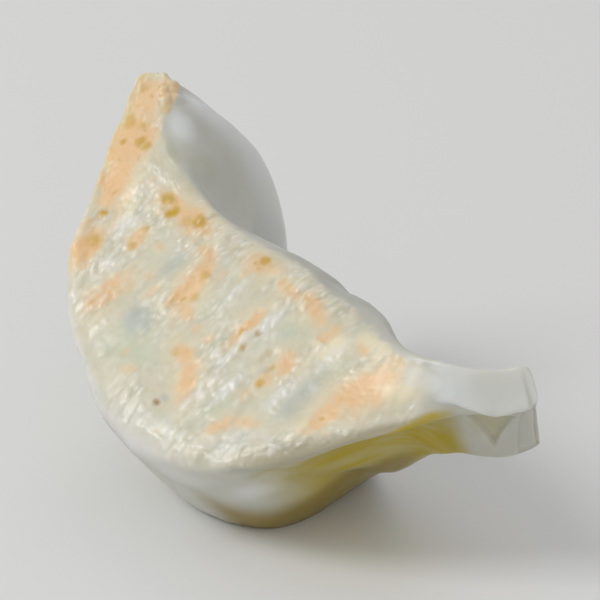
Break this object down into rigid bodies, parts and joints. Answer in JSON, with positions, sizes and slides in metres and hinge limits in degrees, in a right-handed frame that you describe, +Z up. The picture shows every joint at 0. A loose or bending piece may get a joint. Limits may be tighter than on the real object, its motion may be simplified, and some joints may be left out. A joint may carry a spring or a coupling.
{
  "type": "chicken gyoza",
  "caption": "Pan-fried half-moon dumpling with a flat browned face, a plump belly and pressed flaps at its ends, to be served on a plate.",
  "frame": {"origin": "centre of the footprint's box, on the surface the dumpling rests on", "axes": "+X from the back tip to the front tip, +Y away from the browned face's low edge, +Z up"},
  "size_m": [0.083, 0.0458, 0.0424],
  "materials": {
    "fried_wrapper": "steamed and pan-fried wheat wrapper, pale cream with golden brown patches, slightly oily"
  },
  "bodies": {
    "root": {"gyoza": "fried_wrapper"}
  },
  "joints": []
}
